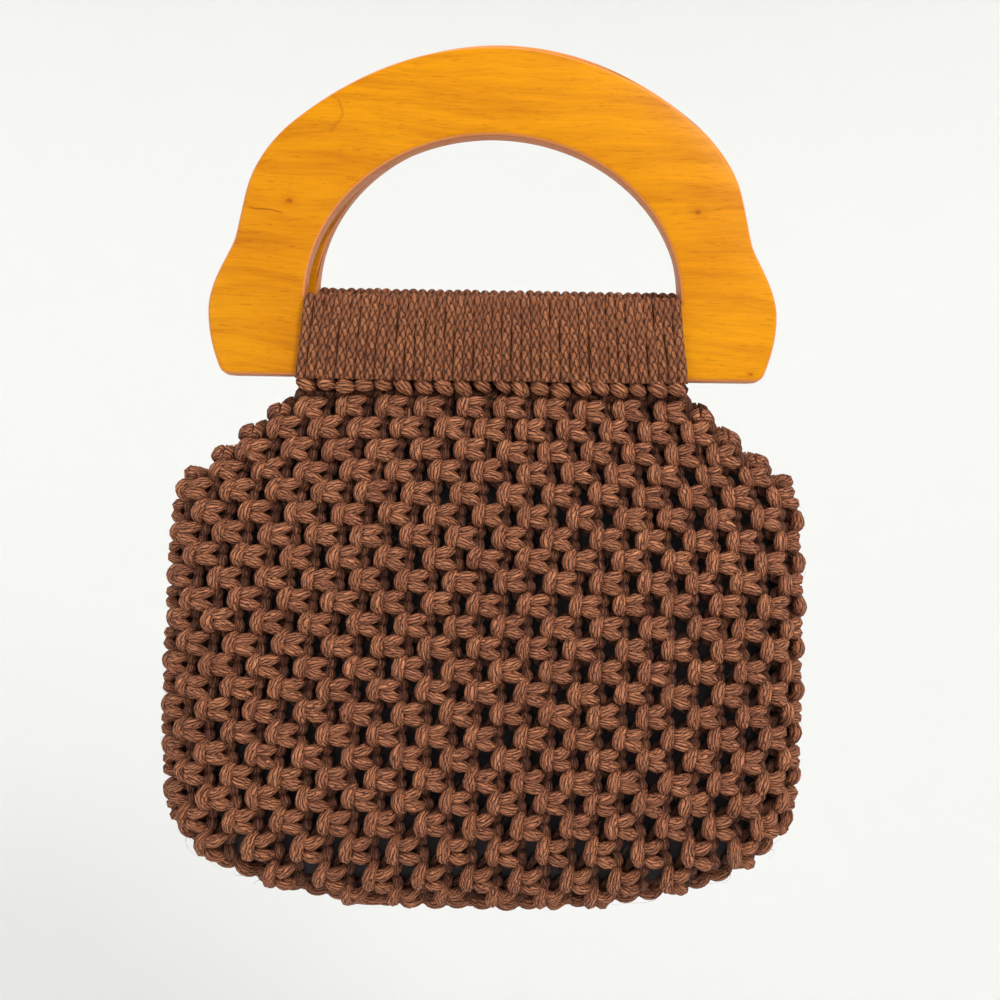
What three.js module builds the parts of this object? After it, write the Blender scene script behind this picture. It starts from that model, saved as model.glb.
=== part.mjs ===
// A hand-knotted cord bag that hangs from two flat plywood handles.
// Each handle is a D-shaped board. Forty cords lie side by side over its lower bar, a row of small
// hitches gathers them in pairs under the bar, and the net below them is knotted into a pouch.
// Millimetres. X runs to the right, Y to the back and Z up, and the front of the bag faces -Y.
// The origin is under the crown of the front handle's hand opening, where the bag hangs on a hook.

import * as THREE from "three";

// Handle boards
const board_thickness = 12;
const board_half_width = 137;
const band_at_crown = 42.6;
const opening_half_width = 90.6;
const opening_arch_height = 79.7;
const opening_sill = 2.3;
const bar_height = 35.1;
const board_edge_round = 1.6;
const outline_steps = 9;

// How the two boards hang beside each other
const board_spacing = 31;
const back_board_rise = 7.5;
const back_board_shift = 2.5;
const back_board_lean_degrees = 5.5;

// Cords over the bar, and the hitches under it
const cord_count = 40;
const cord_diameter = 4.6;
const groove_depth = 1.4;
const cord_splay = 4.3;
const cords_per_hitch = 2;
const hitch_height = 8.6;
const hitch_top_half_depth = 9.5;
const hitch_bottom_half_depth = 5;
const hitch_waist = 0.78;
const touching_gap = 0.3;
const net_edge_gap = 0.8;
const cord_side_clearance = 1;

// Knotted pouch
const pouch_height = 252.2;
const pouch_half_width = 158.5;
const pouch_half_depth = 31;
const side_round = 34;
const net_wall = 9;
const face_columns = 20;
const side_columns = 6;
const gap_width = 6;
const gap_height = 8;
const gap_column_step = 4;

// Heights that follow from the sizes above
const opening_floor = -(opening_arch_height + opening_sill);
const board_foot = opening_floor - bar_height;
const hitch_top = board_foot - touching_gap;
const net_top = hitch_top - hitch_height - net_edge_gap;
const cords_half_span = opening_half_width - cord_side_clearance;

const wood = new THREE.MeshStandardMaterial({ color: 0xe8920c, roughness: 0.38, metalness: 0 });
const cord = new THREE.MeshStandardMaterial({ color: 0x6b3a24, roughness: 0.85, metalness: 0 });

// A mesh from a list of points and a list of triangles, with its faces turned outwards.
function solidMesh(name, points, triangles, material) {
  let volume = 0;
  for (const [a, b, c] of triangles) {
    volume += points[a].dot(new THREE.Vector3().crossVectors(points[b], points[c])) / 6;
  }
  const facing = volume < 0 ? triangles.map(([a, b, c]) => [a, c, b]) : triangles;
  const geometry = new THREE.BufferGeometry();
  geometry.setAttribute("position", new THREE.Float32BufferAttribute(points.flatMap((p) => p.toArray()), 3));
  geometry.setIndex(facing.flat());
  geometry.computeVertexNormals();
  const mesh = new THREE.Mesh(geometry, material);
  mesh.name = name;
  return mesh;
}

// The right half of a board's outline, as cubic curves from the crown down to the foot. x is a share
// of the half width. z is a share of the band above the opening, or below zero of the depth to the foot.
const outline_curves = [
  { part: "arch", x: 0.765, z: 0.047, out_x: 0.368, out_z: 1, in_x: 0.632, in_z: 0.4 },
  { part: "slope", x: 0.897, z: -0.359, out_x: 0.816, out_z: -0.034, in_x: 0.864, in_z: -0.205 },
  { part: "bulge", x: 1, z: -0.734, out_x: 0.912, out_z: -0.436, in_x: 0.996, in_z: -0.598 },
  { part: "ankle", x: 0.963, z: -0.956, out_x: 1, out_z: -0.828, in_x: 0.982, in_z: -0.897 },
  { part: "foot", x: 0.919, z: -1, out_x: 0.954, out_z: -0.987, in_x: 0.941, in_z: -1 },
];

function outlineX(share) {
  return share * board_half_width;
}

function outlineZ(share) {
  return share > 0 ? share * band_at_crown : share * -board_foot;
}

function boardShape() {
  const shape = new THREE.Shape();
  shape.moveTo(0, band_at_crown);
  for (const c of outline_curves) {
    shape.bezierCurveTo(outlineX(c.out_x), outlineZ(c.out_z), outlineX(c.in_x), outlineZ(c.in_z), outlineX(c.x), outlineZ(c.z));
  }
  const foot = outline_curves.at(-1);
  shape.lineTo(outlineX(-foot.x), board_foot);
  for (let n = outline_curves.length - 1; n >= 0; n -= 1) {
    const c = outline_curves[n];
    const above = n > 0 ? outline_curves[n - 1] : { x: 0, z: 1 };
    shape.bezierCurveTo(outlineX(-c.in_x), outlineZ(c.in_z), outlineX(-c.out_x), outlineZ(c.out_z), outlineX(-above.x), outlineZ(above.z));
  }
  const opening = new THREE.Path();
  opening.moveTo(opening_half_width, opening_floor);
  opening.lineTo(opening_half_width, -opening_arch_height);
  opening.absellipse(0, -opening_arch_height, opening_half_width, opening_arch_height, 0, Math.PI / 2, false);
  opening.absellipse(0, -opening_arch_height, opening_half_width, opening_arch_height, Math.PI / 2, Math.PI, false);
  opening.lineTo(-opening_half_width, opening_floor);
  opening.closePath();
  shape.holes.push(opening);
  return shape;
}

// A board: the D outline with its hand opening, with small chamfers along every edge.
function handleBoard(name) {
  const geometry = new THREE.ExtrudeGeometry(boardShape(), {
    depth: board_thickness - 2 * board_edge_round,
    bevelThickness: board_edge_round,
    bevelSize: board_edge_round,
    bevelOffset: -board_edge_round,
    bevelSegments: 1,
    curveSegments: outline_steps,
  });
  geometry.translate(0, 0, board_edge_round - board_thickness / 2);
  const mesh = new THREE.Mesh(geometry, wood);
  mesh.name = name;
  mesh.rotation.x = Math.PI / 2;
  return mesh;
}

// The cords that hug the bar: a channel, open below, that goes up one face of the bar, over its top
// edge and down the other face. Its outside is ribbed, a rib for each cord, and the ribs splay downwards.
function cordSleeve(name) {
  const inner_y = board_thickness / 2 + touching_gap;
  const inner_top = opening_floor + touching_gap;
  const outer_top = inner_top + cord_diameter;
  const halfSpan = (z) => cords_half_span + (cord_splay * (outer_top - z)) / (outer_top - board_foot);
  const corner = cord_diameter * 0.6;
  const points = [];
  const place = (share, y, z) => points.push(new THREE.Vector3(share * halfSpan(z), y, z)) - 1;

  const outerRow = (share, sink) => {
    const y = inner_y + cord_diameter - sink;
    const top = outer_top - sink;
    return [
      [-y, board_foot], [-y, top - corner], [corner - y, top],
      [y - corner, top], [y, top - corner], [y, board_foot],
    ].map(([row_y, row_z]) => place(share, row_y, row_z));
  };
  const innerRow = (share) => [
    [inner_y, board_foot], [inner_y, inner_top], [-inner_y, inner_top], [-inner_y, board_foot],
  ].map(([row_y, row_z]) => place(share, row_y, row_z));

  const stations = 2 * cord_count;
  const outer = [];
  for (let k = 0; k <= stations; k += 1) {
    outer.push(outerRow((2 * k) / stations - 1, k % 2 === 0 ? groove_depth : 0));
  }
  const inner = [innerRow(-1), innerRow(1)];

  const triangles = [];
  const quad = (a, b, c, d) => triangles.push([a, b, c], [a, c, d]);
  for (let k = 0; k < stations; k += 1) {
    for (let m = 0; m < 5; m += 1) {
      quad(outer[k][m], outer[k][m + 1], outer[k + 1][m + 1], outer[k + 1][m]);
    }
    triangles.push([inner[0][0], outer[k + 1][5], outer[k][5]]);
    triangles.push([inner[0][3], outer[k][0], outer[k + 1][0]]);
  }
  triangles.push([inner[0][0], inner[1][0], outer[stations][5]]);
  triangles.push([inner[0][3], outer[stations][0], inner[1][3]]);
  for (let m = 0; m < 3; m += 1) {
    quad(inner[0][m], inner[0][m + 1], inner[1][m + 1], inner[1][m]);
  }
  const cap = (o, i, turned) => {
    const faces = [
      [o[0], i[3], i[2]], [o[0], i[2], o[1]], [o[1], i[2], o[2]], [o[2], i[2], i[1]],
      [o[2], i[1], o[3]], [o[3], i[1], o[4]], [o[4], i[1], i[0]], [o[4], i[0], o[5]],
    ];
    triangles.push(...(turned ? faces.map(([a, b, c]) => [a, c, b]) : faces));
  };
  cap(outer[0], inner[0], false);
  cap(outer[stations], inner[1], true);
  return solidMesh(name, points, triangles, cord);
}

// The hitches under the bar: one string of swellings, a hitch for each pair of cords, that narrows
// from the sleeve's two legs to the thickness of the net.
function hitchRow(name) {
  const half_span = cords_half_span + cord_splay;
  const middle = hitch_top - hitch_height / 2;
  const half_height = hitch_height / 2;
  const shoulder = hitch_top_half_depth + 1;
  const section = [
    [-hitch_top_half_depth, half_height], [hitch_top_half_depth, half_height], [shoulder, half_height * 0.2],
    [hitch_bottom_half_depth, -half_height], [-hitch_bottom_half_depth, -half_height], [-shoulder, half_height * 0.2],
  ];
  const stations = (2 * cord_count) / cords_per_hitch;
  const points = [];
  const rings = [];
  for (let k = 0; k <= stations; k += 1) {
    const x = half_span * ((2 * k) / stations - 1);
    const scale = k % 2 === 0 ? hitch_waist : 1;
    rings.push(section.map(([y, z]) => points.push(new THREE.Vector3(x, y * scale, middle + z * scale)) - 1));
  }
  const triangles = [];
  const sides = section.length;
  for (let k = 0; k < stations; k += 1) {
    for (let m = 0; m < sides; m += 1) {
      const n = (m + 1) % sides;
      triangles.push([rings[k][m], rings[k][n], rings[k + 1][n]], [rings[k][m], rings[k + 1][n], rings[k + 1][m]]);
    }
  }
  for (let m = 1; m < sides - 1; m += 1) {
    triangles.push([rings[0][0], rings[0][m + 1], rings[0][m]]);
    triangles.push([rings[stations][0], rings[stations][m], rings[stations][m + 1]]);
  }
  return solidMesh(name, points, triangles, cord);
}

// Level sections of the pouch from its top edge down. drop is a share of the pouch's height, width of
// its half width, depth of its half depth and round of the side's rounding. edge is the depth where a
// face meets the side, as a share of the depth at its middle. The first three are two separate strips,
// and the fourth is where the strips join at the corners.
const pouch_sections = [
  { drop: 0, width: 0.6, depth: 0.645, round: 0, edge: 1 },
  { drop: 0.048, width: 0.72, depth: 0.68, round: 0, edge: 0.93 },
  { drop: 0.092, width: 0.832, depth: 0.71, round: 0, edge: 0.79 },
  { drop: 0.14, width: 0.953, depth: 0.745, round: 0.12, edge: 0.56 },
  { drop: 0.2125, width: 0.979, depth: 0.82, round: 0.4, edge: 0.66 },
  { drop: 0.2917, width: 0.992, depth: 0.875, round: 0.66, edge: 0.74 },
  { drop: 0.3708, width: 0.998, depth: 0.93, round: 0.84, edge: 0.8 },
  { drop: 0.45, width: 1, depth: 0.965, round: 0.94, edge: 0.84 },
  { drop: 0.529, width: 1, depth: 0.99, round: 1, edge: 0.87 },
  { drop: 0.608, width: 1, depth: 1, round: 1, edge: 0.88 },
  { drop: 0.687, width: 0.999, depth: 0.998, round: 1, edge: 0.88 },
  { drop: 0.759, width: 0.99, depth: 0.968, round: 0.97, edge: 0.88 },
  { drop: 0.818, width: 0.962, depth: 0.91, round: 0.91, edge: 0.88 },
  { drop: 0.866, width: 0.905, depth: 0.826, round: 0.83, edge: 0.88 },
  { drop: 0.909, width: 0.797, depth: 0.703, round: 0.7, edge: 0.88 },
  { drop: 0.945, width: 0.671, depth: 0.548, round: 0.55, edge: 0.88 },
  { drop: 0.972, width: 0.519, depth: 0.371, round: 0.37, edge: 0.88 },
  { drop: 0.992, width: 0.304, depth: 0.177, round: 0.18, edge: 0.88 },
  { drop: 1, width: 0.127, depth: 0.065, round: 0.065, edge: 0.88 },
];
const corner_row = 3;
const first_gap_row = 2;
const last_gap_row = 10;
const ring_columns = 2 * (face_columns + side_columns);

// The outside of the net at one column of one section. Columns run round the pouch from the front
// face's left edge: front face, right side, back face, left side.
function pouchPoint(row, column) {
  const s = pouch_sections[row];
  const half = column % ring_columns < face_columns + side_columns ? 1 : -1;
  const along = column % (face_columns + side_columns);
  const round = s.round * side_round;
  const flat_half_width = s.width * pouch_half_width - round;
  const depth = s.depth * pouch_half_depth;
  let x;
  let y;
  if (along <= face_columns) {
    const share = (2 * along) / face_columns - 1;
    x = share * flat_half_width;
    y = -depth * (1 - (1 - s.edge) * share * share);
  } else {
    const angle = (Math.PI * (along - face_columns)) / side_columns;
    x = flat_half_width + round * Math.sin(angle);
    y = -depth * s.edge * Math.cos(angle);
  }
  const point = new THREE.Vector3(half * x, half * y, net_top - s.drop * pouch_height);
  if (row < corner_row && half < 0) {
    const share_above_corner = 1 - s.drop / pouch_sections[corner_row].drop;
    point.x += back_board_shift * share_above_corner;
    point.z += back_board_rise * share_above_corner;
  }
  return point;
}

function isFaceCell(column) {
  return column % (face_columns + side_columns) < face_columns;
}

function isGapCell(row, column) {
  const offset = row % 2 === 0 ? 0 : gap_column_step / 2;
  return row >= first_gap_row && row <= last_gap_row && (column + offset) % gap_column_step === 0;
}

// The middle of a cell and four points round it, as far out as half the gap's size or most of the cell.
function gapCorners([a, b, c, d], points) {
  const middle = (...ids) => ids.reduce((sum, id) => sum.add(points[id]), new THREE.Vector3()).divideScalar(ids.length);
  const centre = middle(a, b, c, d);
  const reach = (edge_middle, half_size) => {
    const step = edge_middle.sub(centre);
    return step.setLength(Math.min(half_size, step.length() * 0.8)).add(centre);
  };
  return [
    reach(middle(a, b), gap_height / 2), reach(middle(b, c), gap_width / 2),
    reach(middle(c, d), gap_height / 2), reach(middle(d, a), gap_width / 2),
  ];
}

// The knotted pouch as one hollow wall, open between its two strips at the top, with gaps cut through.
function knottedNet(name) {
  const rows = pouch_sections.length;
  const points = [];
  const id = (row, column) => row * ring_columns + (column % ring_columns);
  for (let row = 0; row < rows; row += 1) {
    for (let column = 0; column < ring_columns; column += 1) points.push(pouchPoint(row, column));
  }
  const tip = points.push(new THREE.Vector3(0, 0, net_top - pouch_height)) - 1;

  const cells = [];
  for (let row = 0; row < rows - 1; row += 1) {
    for (let column = 0; column < ring_columns; column += 1) {
      if (row >= corner_row || isFaceCell(column)) {
        const corners = [id(row, column), id(row, column + 1), id(row + 1, column + 1), id(row + 1, column)];
        cells.push({ corners, gap: isGapCell(row, column) });
      }
    }
  }
  const tip_faces = [];
  for (let column = 0; column < ring_columns; column += 1) {
    tip_faces.push([id(rows - 1, column), id(rows - 1, column + 1), tip]);
  }

  // The way into the wall at each point.
  const inwards = points.map(() => new THREE.Vector3());
  const addInwards = (a, b, c) => {
    const ac = points[c].clone().sub(points[a]);
    const way_in = points[b].clone().sub(points[a]).cross(ac);
    for (const corner of [a, b, c]) inwards[corner].add(way_in);
  };
  for (const { corners: [a, b, c, d] } of cells) {
    addInwards(a, b, c);
    addInwards(a, c, d);
  }
  for (const [a, b, c] of tip_faces) addInwards(a, b, c);
  for (let column = 0; column < ring_columns; column += 1) inwards[id(0, column)].z = 0;
  for (const way_in of inwards) way_in.normalize();

  const outside = [...tip_faces];
  for (const { corners, gap } of cells) {
    const [a, b, c, d] = corners;
    if (gap) {
      const way_in = corners.reduce((sum, corner) => sum.add(inwards[corner]), new THREE.Vector3()).normalize();
      const [top, right, bottom, left] = gapCorners(corners, points).map((p) => {
        inwards.push(way_in);
        return points.push(p) - 1;
      });
      outside.push(
        [a, b, top], [b, right, top], [b, c, right], [c, bottom, right],
        [c, d, bottom], [d, left, bottom], [d, a, left], [a, top, left],
      );
    } else {
      outside.push([a, b, c], [a, c, d]);
    }
  }

  const used = [...new Set(outside.flat())];
  const outer_id = new Map(used.map((old, n) => [old, n]));
  const wall_points = used.map((old) => points[old]);
  for (const old of used) wall_points.push(points[old].clone().addScaledVector(inwards[old], net_wall));
  const outer = outside.map((face) => face.map((old) => outer_id.get(old)));
  const inner = outer.map(([a, b, c]) => [a + used.length, c + used.length, b + used.length]);
  const edges = new Set(outer.flatMap(([a, b, c]) => [`${a}_${b}`, `${b}_${c}`, `${c}_${a}`]));
  const rims = [];
  for (const edge of edges) {
    const [a, b] = edge.split("_").map(Number);
    if (!edges.has(`${b}_${a}`)) rims.push([b, a, a + used.length], [b, a + used.length, b + used.length]);
  }
  return solidMesh(name, wall_points, [...outer, ...inner, ...rims], cord);
}

// A board with its cords and hitches, which turn together about the net's top edge.
function handleSide(side, shift, y, rise, lean_degrees) {
  const upright = new THREE.Group();
  upright.position.z = -net_top;
  upright.add(handleBoard(`handle_${side}`), cordSleeve(`cord_sleeve_${side}`), hitchRow(`hitch_row_${side}`));
  const leaning = new THREE.Group();
  leaning.position.set(shift, y, net_top + rise);
  leaning.rotation.x = THREE.MathUtils.degToRad(lean_degrees);
  leaning.add(upright);
  return leaning;
}

// The front board hangs plumb. The back one sits a little higher and leans forward onto it.
const bag = new THREE.Group();
bag.add(handleSide("front", 0, -board_spacing / 2, 0, 0));
bag.add(handleSide("back", back_board_shift, board_spacing / 2, back_board_rise, back_board_lean_degrees));
bag.add(knottedNet("knotted_net"));

export default bag;
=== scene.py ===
"""Dresses the knotted cord bag.

It gets varnished plywood handles, cords over their bars, and a pouch of square knots. Shapes are worked
out in millimetres in the part's own frame (X right, Y to the back, Z up, origin under the crown of the
front hand opening) and are turned into metres where they become meshes.
"""

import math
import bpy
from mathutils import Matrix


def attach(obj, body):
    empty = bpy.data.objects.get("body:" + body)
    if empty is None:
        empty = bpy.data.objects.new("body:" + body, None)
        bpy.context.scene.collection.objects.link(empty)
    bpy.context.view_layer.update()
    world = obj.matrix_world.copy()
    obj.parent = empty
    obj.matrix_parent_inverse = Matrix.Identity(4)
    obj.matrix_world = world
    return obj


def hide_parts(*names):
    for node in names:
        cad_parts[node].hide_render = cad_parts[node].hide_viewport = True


bl_info = {
    "name": "Knotted cord bag",
    "version": (1, 0, 0),
    "blender": (4, 5, 0),
    "location": "3D View > Sidebar > Cord bag",
    "description": "Builds a hanging bag of square-knotted cord with plywood handles",
    "category": "Object",
}

import bpy
import numpy as np

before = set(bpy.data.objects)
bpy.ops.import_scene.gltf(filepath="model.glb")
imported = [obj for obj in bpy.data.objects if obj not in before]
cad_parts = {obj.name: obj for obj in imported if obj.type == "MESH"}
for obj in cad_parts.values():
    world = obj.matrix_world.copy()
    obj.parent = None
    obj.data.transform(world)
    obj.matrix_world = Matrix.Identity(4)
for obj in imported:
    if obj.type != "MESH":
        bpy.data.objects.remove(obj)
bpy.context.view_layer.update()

MM = 0.001


# Sizes and colours that a user would change


def length_prop(name, description, default):
    """A length that a user would change."""
    return bpy.props.FloatProperty(name=name, description=description, default=default, unit="LENGTH")


def factor_prop(name, description, default, most=1.0):
    """A factor from 0 to most that a user would change."""
    return bpy.props.FloatProperty(
        name=name, description=description, default=default, min=0.0, max=most, subtype="FACTOR"
    )


def colour_prop(name, description, default):
    """A linear colour that a user would change."""
    return bpy.props.FloatVectorProperty(name=name, description=description, default=default, subtype="COLOR")


def count_prop(name, description, default):
    """A count that a user would change."""
    return bpy.props.IntProperty(name=name, description=description, default=default)


class HandleSettings(bpy.types.PropertyGroup):
    """The two plywood boards."""

    thickness: length_prop("Board thickness", "Plywood thickness", 0.012)
    edge_round: length_prop("Edge round", "Radius sanded on every edge of a board", 0.0021)
    varnish: factor_prop("Varnish", "Strength of the gloss coat", 0.15)
    gold: colour_prop("Gold", "Light wood between the grain lines", (0.67, 0.265, 0.0))
    amber: colour_prop("Amber", "Darker grain lines", (0.46, 0.145, 0.0))
    edge_light: colour_prop("Edge veneer", "Light veneers on the sawn edge", (0.70, 0.26, 0.09))
    edge_dark: colour_prop("Edge glue line", "Dark veneers on the sawn edge", (0.24, 0.07, 0.022))


class CordSettings(bpy.types.PropertyGroup):
    """The brown cord, over the bars and in the net."""

    count: count_prop("Cords", "Cords side by side over one bar", 40)
    thickness: length_prop("Cord thickness", "Diameter of a cord over the bar", 0.0046)
    fullness: factor_prop("Fullness", "How fat the cords in the knots are", 1.06, 2.0)
    # Painted highlight: the light colour laid on the crests of the stitches.
    yarn_highlight: colour_prop("Yarn, light", "Crests of the strands", (0.70, 0.285, 0.132))
    yarn_mid: colour_prop("Yarn, middle", "Main colour of the yarn", (0.245, 0.081, 0.038))
    # Painted shade: the dark colour laid in the grooves between the strands.
    yarn_groove_shade: colour_prop("Yarn, dark", "Grooves between the strands", (0.070, 0.022, 0.014))
    # This dark colour is partly the cloth's own and partly painted shade, for the dark inside of the bag seen
    # through the gaps between the knots.
    lining_and_shade: colour_prop("Lining", "Dark cloth inside the net", (0.055, 0.048, 0.052))


class NetSettings(bpy.types.PropertyGroup):
    """The net of alternating square knots."""

    knots_across: count_prop("Knots in the first row", "Square knots in each face's first row", 10)
    rows: count_prop("Rows", "Rows of knots from the bar to the bottom", 23)
    unevenness: factor_prop("Unevenness", "How far hand-tied knots stray from the pattern", 1.0, 2.0)
    seed: count_prop("Seed", "Picks one set of strays", 11)


class StageSettings(bpy.types.PropertyGroup):
    """Backdrop, lights and camera."""

    backdrop_radius: length_prop("Backdrop radius", "From the bag to the backdrop's wall", 1.25)
    backdrop: colour_prop("Backdrop", "Pale paint of the backdrop", (0.93, 0.93, 0.92))
    camera_distance: length_prop("Camera distance", "From the camera to the middle of the bag", 0.6115)
    camera_roll: bpy.props.FloatProperty(
        name="Camera roll",
        description="How far the picture is turned",
        default=math.radians(-0.9),
        subtype="ANGLE",
    )


# Shader maths


class Wire:
    """One output socket. Python operators on it add Math nodes, so a pattern reads as an expression."""

    def __init__(self, sheet, socket):
        self.sheet = sheet
        self.socket = socket

    def math(self, operation, *others):
        values = dict(enumerate((self, *others)))
        return self.sheet.node("ShaderNodeMath", {"operation": operation}, values)[0]

    def __add__(self, other):
        return self.math("ADD", other)

    __radd__ = __add__

    def __sub__(self, other):
        return self.math("SUBTRACT", other)

    def __rsub__(self, other):
        return self.sheet.node("ShaderNodeMath", {"operation": "SUBTRACT"}, {0: other, 1: self})[0]

    def __mul__(self, other):
        return self.math("MULTIPLY", other)

    __rmul__ = __mul__

    def __truediv__(self, other):
        return self.math("DIVIDE", other)

    def __pow__(self, other):
        return self.math("POWER", other)

    def clamped(self):
        return self.math("MINIMUM", 1.0).math("MAXIMUM", 0.0)

    def steps(self, low, high):
        """0 below low, 1 above high and smooth between."""
        settings = {"interpolation_type": "SMOOTHSTEP"}
        return self.sheet.node("ShaderNodeMapRange", settings, {0: self, 1: low, 2: high})[0]


class Sheet:
    """A material's node tree with one method that adds any node."""

    def __init__(self, name):
        self.material = bpy.data.materials.new(name)
        self.material.use_nodes = True
        self.tree = self.material.node_tree
        self.tree.nodes.clear()

    def node(self, kind, settings=None, values=None):
        """Adds a node, sets it up, fills its inputs with values or wires, and returns its outputs."""
        made = self.tree.nodes.new(kind)
        for key, value in (settings or {}).items():
            setattr(made, key, value)
        for key, value in (values or {}).items():
            if isinstance(value, Wire):
                self.tree.links.new(value.socket, made.inputs[key])
            elif isinstance(value, (tuple, list)) and made.inputs[key].type == "RGBA":
                made.inputs[key].default_value = (*value, 1.0)
            else:
                made.inputs[key].default_value = value
        return [Wire(self, out) for out in made.outputs]

    def blend(self, share, first, second):
        """Colour first where share is 0, and second where it is 1."""
        return self.node("ShaderNodeMix", {"data_type": "RGBA"}, {0: share, 6: first, 7: second})[2]

    def multiply(self, share, first, second):
        """Colour first where share is 0, and first times second where it is 1."""
        settings = {"data_type": "RGBA", "blend_type": "MULTIPLY"}
        return self.node("ShaderNodeMix", settings, {0: share, 6: first, 7: second})[2]

    def noise(self, vector, scale, detail=2.0, roughness=0.5):
        values = {"Vector": vector, "Scale": scale, "Detail": detail, "Roughness": roughness}
        return self.node("ShaderNodeTexNoise", None, values)[0]

    def vector(self, x, y, z):
        return self.node("ShaderNodeCombineXYZ", None, {0: x, 1: y, 2: z})[0]

    def parts(self, vector):
        """The three numbers of a vector."""
        return self.node("ShaderNodeSeparateXYZ", None, {0: vector})

    def finish(self, surface, bumps=()):
        """Joins the surface shader to the output. Each bump is (height, strength, depth)."""
        normal = None
        for height, strength, depth in bumps:
            values = {"Height": height, "Strength": strength, "Distance": depth}
            if normal is not None:
                values["Normal"] = normal
            normal = self.node("ShaderNodeBump", None, values)[0]
        if normal is not None:
            surface["Normal"] = normal
        shader = self.node("ShaderNodeBsdfPrincipled", None, surface)[0]
        self.node("ShaderNodeOutputMaterial", None, {"Surface": shader})
        return self.material


# The grooves' dark colour is painted shade.
GROOVE_SHADE = 0.85  # how dark the grooves between strands get, from 0 to 1


def cord_material(name, cords, strands, pitch, shade):
    """Braided cord on the UV map of a tube, which holds the turn round it and the centimetres along it.

    Strands wind both ways round the cord, over one and under one, so each shows as a row of lens-shaped
    stitches pitch centimetres long, each in its own tone and with fibres along it. The crests of the stitches
    get a painted highlight, and the grooves between them painted shade. Cord that lies deep in the weave gets
    more painted shade, from a point attribute. shade is a factor for each of red, green and blue: painted
    light and shade that make each part's copy of the cord darker or lighter, warmer or cooler.
    """
    sheet = Sheet(name)
    turn, along, _ = sheet.parts(sheet.node("ShaderNodeUVMap", {"uv_map": "yarn"})[0])
    angle = turn * (2 * math.pi)
    sine, cosine = angle.math("SINE"), angle.math("COSINE")
    wander = sheet.noise(sheet.vector(sine * 0.6, cosine * 0.6, along * 1.3), 2.0) - 0.5
    warped = sheet.noise(sheet.vector(sine * 0.7, cosine * 0.7, along * 1.1 + 9.0), 2.0) - 0.5
    left = turn * strands + along / pitch + wander * (0.2 * strands)
    right = turn * strands - along / pitch + warped * (0.2 * strands)
    left_strand, right_strand = left.math("FLOOR"), right.math("FLOOR")
    across_left = (left * math.pi).math("SINE").math("ABSOLUTE")
    across_right = (right * math.pi).math("SINE").math("ABSOLUTE")
    over = (left_strand + right_strand).math("FLOORED_MODULO", 2.0)
    stitch_left = across_left * across_right**0.3
    stitch = stitch_left + (across_right * across_left**0.3 - stitch_left) * over
    thread_left = (left * (3 * math.pi)).math("SINE").math("ABSOLUTE")
    thread = thread_left + ((right * (3 * math.pi)).math("SINE").math("ABSOLUTE") - thread_left) * over
    which = (left_strand + right_strand).math("FLOORED_MODULO", 2.0 * strands)
    tone = sheet.noise(sheet.vector(which * 3.7, (left_strand - right_strand) * 2.9, 0.0), 1.0, 1.0)
    streak = sheet.noise(sheet.vector(sine * 3.4, cosine * 3.4, along * 2.4), 2.6, 3.0, 0.75)
    patch = sheet.noise(sheet.node("ShaderNodeTexCoord")[3], 60.0, 1.0)
    recess_shade = sheet.node("ShaderNodeAttribute", {"attribute_name": "recess_shade"})[2]

    # Painted shade in the grooves between the strands, wider where the cord lies deep in the weave.
    crown = (stitch - recess_shade * 0.3).steps(0.0, 0.5)
    filled = 1.0 - (1.0 - crown) * GROOVE_SHADE
    base = sheet.blend(filled, tuple(cords.yarn_groove_shade), tuple(cords.yarn_mid))
    # Painted highlight on the crests of the stitches, broken up by the fibres' own tone and streaks.
    painted_highlight = stitch.steps(0.2, 0.9) * (0.3 + thread * 0.8) * (tone * 1.8 + streak * 2.4 - 1.5).clamped()
    colour = sheet.blend(painted_highlight.clamped(), base, tuple(cords.yarn_highlight))
    # Painted light and shade: shade makes this part's copy of the cord darker or lighter, mixed with random
    # patches of the yarn's own tone.
    red, green, blue = shade
    tint = sheet.blend(patch.steps(0.3, 0.7), (0.84 * red, 0.8 * green, 0.82 * blue), (red, green, blue))
    colour = sheet.multiply(1.0, colour, tint)
    # Painted shade where the cord lies deep in the weave.
    colour = sheet.multiply(recess_shade * 0.85, colour, (0.2, 0.15, 0.16))
    surface = {
        "Base Color": colour,
        "Roughness": 0.84 - streak * 0.14,
        "Specular IOR Level": 0.3,
    }
    bumps = [(crown, 0.8, 0.0006), (thread * 0.5 + streak, 0.8, 0.0004)]
    return sheet.finish(surface, bumps)


# The cloth's dark colour is partly its own and partly painted shade, for the inside of the bag seen through
# the gaps.
def lining_and_shade_material(cords):
    """Dark plain-woven cloth: threads over and under each other."""
    sheet = Sheet("dark_lining")
    thread_pitch = 0.0006
    x, y, z = sheet.parts(sheet.node("ShaderNodeTexCoord")[3])
    warp = (x * (math.pi / thread_pitch)).math("SINE")
    weft = (z * (math.pi / thread_pitch)).math("SINE")
    weave = (warp * weft) * 0.5 + 0.5
    fold = sheet.noise(sheet.vector(x * 30.0, y * 10.0, z * 12.0), 1.0, 2.0)
    red, green, blue = cords.lining_and_shade
    # Painted shade: the cloth is darker in the hollows of its fold bump.
    colour = sheet.blend(fold.steps(0.3, 0.7), (red * 0.7, green * 0.7, blue * 0.7), (red, green, blue))
    surface = {"Base Color": colour, "Roughness": 0.9, "Specular IOR Level": 0.15}
    return sheet.finish(surface, [(fold, 0.5, 0.002), (weave, 0.4, 0.0002)])


# Marks on the wood, in metres across and up: small knots with their radii, a crack and a swirl.
WOOD_KNOTS = ((-0.0985, -0.0333, 0.0015), (0.098, -0.036, 0.0018), (0.1245, -0.1135, 0.001))
CRACK_X, CRACK_Z = -0.1096, -0.0379
SWIRL_X, SWIRL_Z = -0.0805, 0.0095
VENEER = 0.0024


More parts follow.
